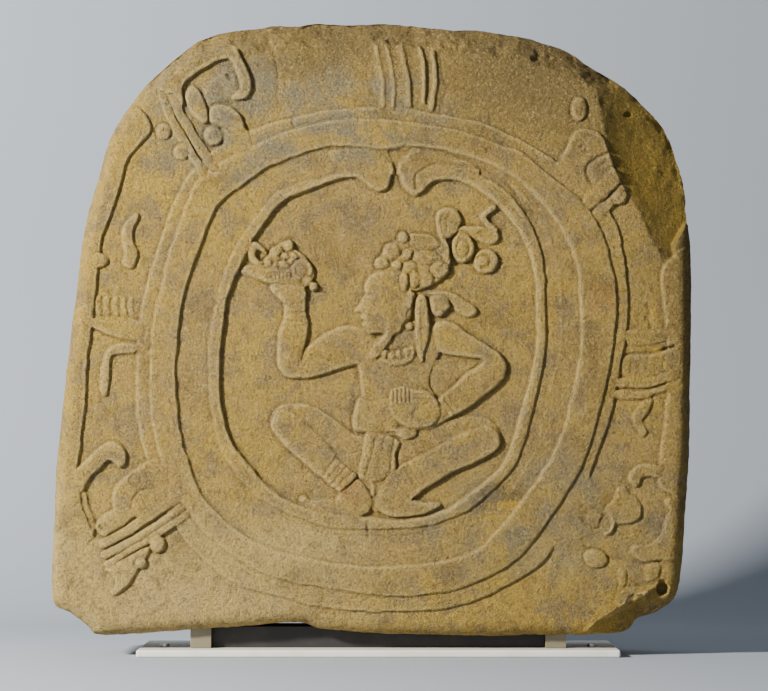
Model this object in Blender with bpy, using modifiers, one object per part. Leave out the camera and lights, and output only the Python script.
"""A carved stone slab with a rounded top, held upright on a small metal mount."""
import math

import bmesh
import bpy
from mathutils import Matrix, Vector

# Sizes, in metres. The front faces -Y and the mount's underside is at Z 0.
SLAB_WIDTH = 0.678
SLAB_HEIGHT = 0.652
SLAB_DEPTH = 0.130
EDGE_ROUND = 0.014
BACK_ROUND = 0.020

PLATE_WIDTH = 0.507
PLATE_DEPTH = 0.150
PLATE_THICKNESS = 0.008
PLATE_CORNER = 0.002
PLATE_SHIFT = 0.006

POST_SIDE = 0.022
POST_HEIGHT = 0.022
POST_SPREAD = 0.375
POST_SETBACK = 0.027
BLOCK_DEPTH = 0.060
SEAT_GAP = 0.0003
LIP_DROP = 0.0094

SCREW_DIAMETER = 0.010
SCREW_HEIGHT = 0.003
SCREW_INSET = 0.026

# Heights of the carving above the field, which is the slab's front plane.
BORDER_RISE = 0.004
BAND_RISE = 0.004
RING_RISE = 0.007
INNER_RING_RISE = 0.003
RIM_RISE = 0.006
MOTIF_RISE = 0.006
FIGURE_RISE = 0.005
FIGURE_STEP = 0.002
INNER_FIELD_DEPTH = 0.004
CARVED_EDGE = 0.0012
ROOT = 0.006
HAIR = 0.00008

# Losses: length, reach in front of the stone and reach across it, with the slope in degrees.
TOP_LOSS = (0.420, 0.100, 0.100, 46)
SHOULDER_LOSS = (0.215, 0.120, 0.110, 24)
CORNER_LOSS = (0.120, 0.080, 0.080, 42)

# The carving is laid out in squares, counted across and down from one corner.
SQUARES_WIDE = 645.5
SQUARES_HIGH = 621
MIDDLE_SQUARE = 373.25
FOOT_SQUARE = 639.5

PROUDEST = max(RING_RISE, RIM_RISE, MOTIF_RISE, FIGURE_RISE + 2 * FIGURE_STEP)
PLATE_TOP = PLATE_THICKNESS + SEAT_GAP
POST_TOP = PLATE_TOP + POST_HEIGHT
SEAT = POST_TOP + SEAT_GAP
SLAB_FOOT = SEAT - LIP_DROP
FRONT = -PLATE_DEPTH / 2
FIELD = FRONT + PROUDEST
BACK = FIELD + SLAB_DEPTH

OUTLINE = (
    (51.5, 606), (50.5, 561.5), (54, 480.5), (61, 399.5), (68, 338.5), (76, 277.5), (84, 217), (94.5, 180.5),
    (108.5, 136), (134, 95.5), (161, 66), (181.5, 49), (201.5, 35.5), (237, 26.5), (278.5, 21.5), (319, 18.5),
    (389, 18.5), (428.5, 22.5), (481, 25.5), (513.5, 30.5), (550, 39.5), (584.5, 54), (616, 75), (640.5, 96.5),
    (661.5, 115.5), (675.5, 138), (688, 176.5), (692, 217), (695, 267.5), (696, 318.5), (694, 399.5),
    (691, 480.5), (687, 541), (683, 581.5), (675.5, 605), (653.5, 620), (629, 634.5), (603, 638.5),
    (522, 639.5), (424.5, 638.5), (339.5, 635.5), (321, 633.5), (299, 628), (258.5, 629), (205.5, 632.5),
    (149, 636.5), (96.5, 638.5), (76, 622),
)


def clear_scene():
    for item in list(bpy.data.objects):
        bpy.data.objects.remove(item, do_unlink=True)


def new_collection(name):
    group = bpy.data.collections.new(name)
    bpy.context.scene.collection.children.link(group)
    return group


def finish(name, colour, roughness, metallic=0.0):
    """One plain finish with its own colour and roughness."""
    made = bpy.data.materials.new(name)
    made.use_nodes = True
    shader = made.node_tree.nodes["Principled BSDF"]
    shader.inputs["Base Color"].default_value = (*colour, 1.0)
    shader.inputs["Roughness"].default_value = roughness
    shader.inputs["Metallic"].default_value = metallic
    return made


def across(x):
    """Metres from the slab's middle line to a square."""
    return (x - MIDDLE_SQUARE) * SLAB_WIDTH / SQUARES_WIDE


def up(y):
    """Metres from the floor to a square."""
    return SLAB_FOOT + (FOOT_SQUARE - y) * SLAB_HEIGHT / SQUARES_HIGH


def link(mesh, name, group, material=None):
    item = bpy.data.objects.new(name, mesh)
    group.objects.link(item)
    if material:
        mesh.materials.append(material)
    return item


def as_tool(item):
    """A shape that only cuts or joins another one."""
    item.hide_render = True
    item.display_type = "WIRE"
    return item


def curve_to_mesh(curve_object):
    """The curve as one welded mesh that keeps its place."""
    depsgraph = bpy.context.evaluated_depsgraph_get()
    mesh = bpy.data.meshes.new_from_object(curve_object.evaluated_get(depsgraph))
    build = bmesh.new()
    build.from_mesh(mesh)
    bmesh.ops.remove_doubles(build, verts=build.verts, dist=1e-5)
    build.transform(curve_object.matrix_world)
    bmesh.ops.recalc_face_normals(build, faces=build.faces)
    build.to_mesh(mesh)
    build.free()
    bpy.data.objects.remove(curve_object, do_unlink=True)
    return mesh


def flat_outline(points, smooth):
    """A closed flat curve through squares, lying in XY with its top towards the front."""
    curve = bpy.data.curves.new("outline", "CURVE")
    curve.dimensions = "2D"
    curve.fill_mode = "BOTH"
    if smooth:
        spline = curve.splines.new("BEZIER")
        spline.bezier_points.add(len(points) - 1)
        for knot, (x, y) in zip(spline.bezier_points, points):
            knot.co = (across(x), up(y), 0.0)
            knot.handle_left_type = "AUTO"
            knot.handle_right_type = "AUTO"
        spline.resolution_u = smooth
    else:
        spline = curve.splines.new("POLY")
        spline.points.add(len(points) - 1)
        for knot, (x, y) in zip(spline.points, points):
            knot.co = (across(x), up(y), 0.0, 1.0)
    spline.use_cyclic_u = True
    return curve


def prism(name, points, low, high, group, smooth=2, edge=0.0):
    """An outline made solid between two heights above the field."""
    curve = flat_outline(points, smooth)
    half = (high - low) / 2
    curve.extrude = half - edge
    curve.bevel_depth = edge
    curve.bevel_resolution = 0
    curve.offset = -edge
    shape = bpy.data.objects.new(name, curve)
    bpy.context.scene.collection.objects.link(shape)
    stand = Matrix.Rotation(math.pi / 2, 4, "X")
    place = Matrix.Translation((0.0, FIELD - (low + high) / 2, 0.0))
    shape.matrix_world = place @ stand
    bpy.context.view_layer.update()
    return as_tool(link(curve_to_mesh(shape), name, group))


def egg(x, y, wide, high, count=10, turn=0.0):
    """Points round an ellipse, clockwise on the front."""
    c, s = math.cos(math.radians(turn)), math.sin(math.radians(turn))
    ring = []
    for step in range(count):
        angle = 2 * math.pi * step / count
        a, b = wide * math.cos(angle), high * math.sin(angle)
        ring.append((x + a * c - b * s, y + a * s + b * c))
    return ring


def strap(width, *path):
    """Points round a strip of one width that follows a path."""
    sides = ([], [])
    for i, (x, y) in enumerate(path):
        before = Vector(path[max(i - 1, 0)])
        after = Vector(path[min(i + 1, len(path) - 1)])
        run = (after - before).normalized()
        for side, sign in zip(sides, (1, -1)):
            side.append((x - sign * run.y * width / 2, y + sign * run.x * width / 2))
    first, last = Vector(path[0]), Vector(path[-1])
    tail = first + (first - Vector(path[1])).normalized() * width * 0.3
    tip = last + (last - Vector(path[-2])).normalized() * width * 0.3
    return [tuple(tail), *sides[0], tuple(tip), *reversed(sides[1])]


def slab_block(group, material):
    """The outline carried from front to back and drawn in where the edges are rounded."""
    half = math.sqrt(0.5)
    stations = (
        (FIELD, EDGE_ROUND),
        (FIELD + EDGE_ROUND * (1 - half), EDGE_ROUND * (1 - half)),
        (FIELD + EDGE_ROUND, 0.0),
        (BACK - BACK_ROUND, 0.0),
        (BACK - BACK_ROUND * (1 - half), BACK_ROUND * (1 - half)),
        (BACK, BACK_ROUND),
    )
    centre = SLAB_FOOT + SLAB_HEIGHT / 2
    build = bmesh.new()
    rings = []
    for y, inset in stations:
        wide = 1 - 2 * inset / SLAB_WIDTH
        high = 1 - 2 * inset / SLAB_HEIGHT
        corners = ((across(a) * wide, y, centre + (up(b) - centre) * high) for a, b in OUTLINE)
        rings.append([build.verts.new(corner) for corner in corners])
    for near, far in zip(rings, rings[1:]):
        for i in range(len(near)):
            build.faces.new((near[i - 1], near[i], far[i], far[i - 1]))
    build.faces.new(rings[0])
    build.faces.new(rings[-1])
    bmesh.ops.recalc_face_normals(build, faces=build.faces)
    mesh = bpy.data.meshes.new("stone_slab")
    build.to_mesh(mesh)
    build.free()
    return link(mesh, "stone_slab", group, material)


def box(name, low, high, group, material=None, round_edge=0.0):
    """A block between two corners, with its edges eased if asked."""
    bpy.ops.mesh.primitive_cube_add(size=1.0)
    item = bpy.context.object
    item.name = name
    for owner in list(item.users_collection):
        owner.objects.unlink(item)
    group.objects.link(item)
    size = Vector(high) - Vector(low)
    middle = (Vector(high) + Vector(low)) / 2
    item.data.transform(Matrix.Translation(middle) @ Matrix.Diagonal((*size, 1.0)))
    if material:
        item.data.materials.append(material)
    if round_edge:
        ease = item.modifiers.new("eased_edges", "BEVEL")
        ease.width = round_edge
        ease.segments = 2
    return item


def boolean(item, name, operation, other):
    """Joins or cuts with one shape, or with all the shapes of a collection."""
    step = item.modifiers.new(name, "BOOLEAN")
    step.operation = operation
    step.solver = "EXACT"
    if isinstance(other, bpy.types.Collection):
        step.operand_type = "COLLECTION"
        step.collection = other
    else:
        step.object = other


BAND_OUTER = (
    (136, 400), (141, 306), (158, 247), (185, 180), (247, 132), (323, 111), (400, 107), (471, 120),
    (540, 152), (585, 182), (610, 210), (627, 283), (624, 347), (607, 427), (590, 478), (553, 547),
    (509, 584), (449, 607), (384, 611), (322, 606), (231, 581), (182, 535), (146, 459),
)
RING_OUTER = (
    (150, 400), (155, 313), (195, 184), (253, 146), (333, 121), (436, 126), (523, 153), (591, 213),
    (615, 300), (604, 400), (577, 477), (536, 537), (445, 591), (322, 586), (222, 547), (170, 480),
)
RING_INNER = (
    (177, 400), (190, 275), (228, 196), (295, 157), (381, 149), (450, 156), (510, 180), (552, 224),
    (580, 290), (575, 380), (546, 465), (487, 540), (388, 565), (290, 552), (218, 510), (183, 440),
)
STEP_INNER = (
    (216, 400), (214, 330), (252, 228), (330, 184), (462, 183), (520, 214), (552, 262),
    (559, 320), (552, 380), (536, 447), (509, 493), (439, 542), (390, 548), (300, 524), (222, 455),
)
RIM_OUTER = (
    (211, 400), (209, 341), (228, 264), (272, 197), (329, 174), (400, 168), (460, 178), (512, 210),
    (540, 262), (545, 330), (537, 385), (515, 443), (484, 490), (424, 527), (331, 527), (262, 500),
    (222, 455),
)
RIM_INNER = (
    (221, 400), (220, 355), (228, 296), (256, 236), (295, 197), (358, 179), (400, 178), (452, 187),
    (503, 217), (531, 264), (537, 330), (528, 382), (506, 438), (478, 480), (422, 514), (331, 513),
    (286, 499), (247, 462), (228, 430),
)
LEFT_BORDER = (
    (86, 400), (80, 462), (69, 492), (66, 470), (74, 400), (82, 330), (91, 270), (108, 190),
    (124, 150), (142, 121), (150, 128), (128, 160), (103, 234), (90, 330),
)
RIGHT_BORDER = ((667, 270), (668, 340), (662, 440), (664, 470), (678, 462), (682, 340), (680, 275))


def terraces(slab, tools):
    """The oval rings, cut and raised in turn from the outside in, like nested steps."""
    steps = (
        ("band", BAND_OUTER, BAND_RISE, True),
        ("ring", RING_OUTER, RING_RISE, True),
        ("ring_bed", RING_INNER, INNER_RING_RISE, False),
        ("bed_step", STEP_INNER, INNER_RING_RISE / 2, False),
        ("rim", RIM_OUTER, RIM_RISE, True),
        ("inner_field", RIM_INNER, -INNER_FIELD_DEPTH, False),
        ("ring_opening", strap(11, (396, 151), (397, 172), (399, 198)), -INNER_FIELD_DEPTH, False),
    )
    for index, (name, points, level, raised) in enumerate(steps):
        low, high = (-ROOT - index * HAIR, level) if raised else (level, PROUDEST + ROOT)
        shape = prism(name, points, low, high, tools, smooth=3, edge=CARVED_EDGE if raised else 0.0)
        boolean(slab, name, "UNION" if raised else "DIFFERENCE", shape)


def upper_left_head():
    return (
        ("ul_snout", strap(12, (226, 47), (236, 60), (243, 80), (238, 94))),
        ("ul_brow", strap(15, (228, 47), (206, 60), (184, 78), (174, 96))),
        ("ul_tongue", strap(9, (192, 84), (197, 98), (204, 112))),
        ("ul_lobe", egg(226, 116, 17, 12)),
        ("ul_leaf", egg(212, 139, 10, 12)),
        ("ul_chin", strap(9, (239, 122), (246, 146))),
        ("ul_strap_inner", strap(10, (178, 98), (190, 124), (214, 170))),
        ("ul_strap_outer", strap(10, (165, 90), (177, 121), (203, 175))),
        ("ul_disc_high", egg(162, 136, 8, 8, 8)),
        ("ul_disc_low", egg(180, 153, 8, 8, 8)),
    )


def upper_right_head():
    return (
        ("ur_oval", egg(580, 108, 8, 14, 8)),
        ("ur_ridge", strap(8, (586, 131), (571, 142), (553, 169))),
        ("ur_curl", egg(582, 150, 9, 10, 8)),
        ("ur_lobe", egg(598, 168, 12, 14)),
        ("ur_strap", strap(12, (612, 173), (592, 205))),
        ("ur_tab", egg(620, 198, 9, 8, 8)),
    )


def lower_left_head():
    return (
        ("ll_snout", strap(13, (114, 464), (117, 453), (107, 450), (92, 466), (74, 488))),
        ("ll_strip", strap(7, (84, 490), (87, 508), (94, 525))),
        ("ll_cheek", egg(133, 482, 17, 20)),
        ("ll_fist", egg(147, 502, 11, 10, 8)),
        ("ll_lobe", egg(118, 517, 18, 10)),
        ("ll_strap_high", strap(11, (112, 548), (140, 527), (174, 502))),
        ("ll_strap_low", strap(11, (112, 560), (145, 540), (183, 512))),
        ("ll_tab", egg(158, 545, 9, 8, 8)),
        ("ll_jaw", strap(13, (117, 589), (132, 572), (146, 556))),
    )


def lower_right_head():
    return (
        ("lr_hook", strap(9, (633, 482), (640, 470), (664, 470))),
        ("lr_lobe", egg(625, 508, 16, 13)),
        ("lr_disc", egg(592, 521, 9, 9, 8)),
        ("lr_knob", egg(606, 526, 8, 9, 8)),
        ("lr_curl", strap(11, (662, 502), (661, 520), (643, 540))),
        ("lr_line", strap(8, (586, 549), (612, 561), (656, 563))),
        ("lr_tab", egg(596, 560, 11, 9, 8)),
    )


def ties():
    """The bands that bind the border at the top and at both sides."""
    shapes = []
    strips = ((382, 388, 7), (392, 398, 7), (408, 412, 13), (428, 427, 11), (444, 447, 7))
    for i, (top, foot, wide) in enumerate(strips):
        middle = (top + foot) / 2 + 3
        shapes.append((f"top_tie_{i}", strap(wide, (top, 50), (middle, 80), (foot, 106))))
    for i in range(5):
        shapes.append((f"left_tie_{i}", strap(5, (100 + 9 * i, 295), (99 + 9 * i, 315))))
        shapes.append((f"right_tie_{i}", strap(5, (631 + 7.5 * i, 356), (630 + 7.5 * i, 375))))
    shapes += (
        ("left_tie_band", strap(13, (96, 330), (136, 331))),
        ("left_tie_hook", strap(10, (112, 350), (105, 366), (103, 390))),
        ("left_flame", strap(11, (133, 220), (126, 233), (129, 252), (127, 266))),
        ("right_tie_band_high", strap(10, (634, 340), (655, 336), (672, 331))),
        ("right_tie_band_low", strap(10, (632, 384), (655, 381), (674, 375))),
        ("right_flame", strap(9, (646, 402), (638, 413), (641, 426), (646, 438))),
    )
    return shapes


def figure():
    """The seated figure, its bundle and its headdress."""
    return (
        ("torso", ((360, 357), (363, 396), (354, 404), (354, 430), (395, 432), (420, 436), (437, 405),
                   (436, 355), (428, 326), (400, 326), (375, 343))),
        ("apron", ((369, 433), (360, 472), (382, 484), (396, 472), (400, 438))),
        ("head", ((398, 276), (376, 276), (367, 288), (363, 303), (359, 308), (365, 313), (366, 326),
                  (380, 334), (398, 330), (408, 305))),
        ("raised_upper_arm", strap(26, (362, 345), (330, 350), (296, 366))),
        ("raised_forearm", strap(24, (292, 370), (291, 335), (295, 296))),
        ("raised_hand", egg(287, 291, 17, 9)),
        ("bundle", egg(280, 266, 36, 19, 14, 12)),
        ("bundle_knob", egg(289, 246, 7, 7, 8)),
        ("left_leg", ((277, 410), (290, 405), (333, 418), (368, 440), (370, 468), (340, 490), (302, 465),
                      (273, 434))),
        ("left_foot", ((342, 484), (356, 478), (372, 500), (368, 515), (345, 516))),
        ("right_leg", ((398, 441), (427, 430), (479, 416), (500, 432), (498, 449), (455, 476),
                       (413, 497), (396, 480))),
        ("right_foot", ((400, 474), (424, 490), (438, 505), (390, 516), (378, 500))),
        ("right_upper_arm", strap(24, (436, 334), (464, 345), (494, 365))),
        ("right_forearm", strap(23, (493, 371), (470, 391), (440, 411))),
        ("right_hand", egg(415, 409, 27, 18)),
        ("headdress", egg(420, 262, 36, 22, 14)),
        ("headdress_lobe", egg(447, 225, 10, 15)),
        ("headdress_disc", egg(463, 249, 12, 15)),
        ("headdress_curl", egg(487, 262, 13, 12)),
        ("headdress_scroll", strap(9, (492, 211), (485, 220), (492, 233), (480, 240))),
        ("side_lock", strap(13, (407, 296), (397, 318), (388, 342))),
        ("ear_ribbon", strap(11, (422, 302), (422, 330), (422, 356))),
        ("collar", strap(12, (372, 352), (390, 360), (412, 352))),
        ("back_knot", egg(442, 308, 9, 10, 8)),
        ("back_ribbon", strap(14, (446, 298), (462, 304), (474, 315))),
    )


def raise_all(shapes, floor, rise, group, smooth=1):
    """Each shape stands a hair prouder than the one before, so no two tops share a plane."""
    for index, (name, points) in enumerate(shapes):
        extra = index * HAIR
        prism(name, points, floor - ROOT - extra, rise + extra, group, smooth, CARVED_EDGE)


def breaks(slab, tools):
    """The broken top, the spall on the right shoulder and the lost lower corner."""
    losses = (
        ("broken_top", (373, 50), 0.0, TOP_LOSS),
        ("spall", (628, 174), 69.3, SHOULDER_LOSS),
        ("lost_corner", (618, 610), 148.5, CORNER_LOSS),
    )
    for name, (x, y), turn, (long, front, wide, slope) in losses:
        tool = box(name, (-long / 2, -front, 0.0), (long / 2, 0.0, wide), tools)
        tilt = Matrix.Rotation(math.radians(-slope), 4, "X")
        spin = Matrix.Rotation(math.radians(turn), 4, "Y")
        tool.matrix_world = Matrix.Translation((across(x), FIELD - BAND_RISE, up(y))) @ spin @ tilt
        boolean(slab, name, "DIFFERENCE", as_tool(tool))


def screw(name, x, y, group, material):
    """A low round screw head on the plate."""
    bpy.ops.mesh.primitive_cylinder_add(vertices=20, radius=SCREW_DIAMETER / 2, depth=SCREW_HEIGHT)
    item = bpy.context.object
    item.name = name
    for owner in list(item.users_collection):
        owner.objects.unlink(item)
    group.objects.link(item)
    item.data.transform(Matrix.Translation((x, y, PLATE_TOP + SCREW_HEIGHT / 2)))
    item.data.materials.append(material)
    item.data.shade_smooth()
    item.data.set_sharp_from_angle(angle=math.radians(40))


def mount(parts):
    """The plate, its two posts, the dark block between them and the two screws."""
    pale = finish("plate_paint", (0.62, 0.60, 0.55), 0.45)
    olive = finish("post_paint", (0.20, 0.18, 0.12), 0.5)
    dark = finish("block_paint", (0.012, 0.012, 0.013), 0.6)
    steel = finish("screw_steel", (0.55, 0.53, 0.50), 0.35, 1.0)
    left_edge = PLATE_SHIFT - PLATE_WIDTH / 2
    box("base_plate", (left_edge, FRONT, 0.0),
        (left_edge + PLATE_WIDTH, -FRONT, PLATE_THICKNESS), parts, pale, PLATE_CORNER)
    post_front = FRONT + POST_SETBACK
    reach = POST_SPREAD / 2
    for side, x in (("left", PLATE_SHIFT - reach), ("right", PLATE_SHIFT + reach)):
        box(f"post_{side}", (x - POST_SIDE / 2, post_front, PLATE_TOP),
            (x + POST_SIDE / 2, post_front + POST_SIDE, POST_TOP), parts, olive, PLATE_CORNER / 4)
    inner = reach - POST_SIDE / 2 - SEAT_GAP
    block_front = post_front + POST_SIDE / 2
    box("support_block", (PLATE_SHIFT - inner, block_front, PLATE_TOP),
        (PLATE_SHIFT + inner, block_front + BLOCK_DEPTH, POST_TOP), parts, dark, PLATE_CORNER / 4)
    for side, sign in (("left", -1), ("right", 1)):
        x = PLATE_SHIFT + sign * (PLATE_WIDTH / 2 - SCREW_INSET)
        screw(f"screw_{side}", x, post_front + SCREW_INSET, parts, steel)


def slab_seat(slab, tools):
    """The flat underside that the posts and the block carry."""
    reach = POST_SPREAD / 2 + POST_SIDE / 2 + 4 * SEAT_GAP
    low = (PLATE_SHIFT - reach, FRONT + POST_SETBACK - 4 * SEAT_GAP, 0.0)
    seat = box("seat", low, (PLATE_SHIFT + reach, BACK + ROOT, SEAT), tools)
    boolean(slab, "seat", "DIFFERENCE", as_tool(seat))


def main():
    clear_scene()
    parts = new_collection("carved_stone_stele")
    tools = new_collection("cutters")
    carving = new_collection("carving")
    slab = slab_block(parts, finish("sandstone", (0.36, 0.26, 0.12), 0.95))
    terraces(slab, tools)
    heads = (upper_left_head(), upper_right_head(), lower_left_head(), lower_right_head())
    for shapes in (*heads, ties()):
        raise_all(shapes, 0.0, MOTIF_RISE, carving)
    borders = (("left_border", LEFT_BORDER), ("right_border", RIGHT_BORDER))
    raise_all(borders, 0.0, BORDER_RISE, carving)
    raise_all(figure(), -INNER_FIELD_DEPTH, FIGURE_RISE, carving, 2)
    boolean(slab, "carving", "UNION", carving)
    breaks(slab, tools)
    slab_seat(slab, tools)
    mount(parts)


main()
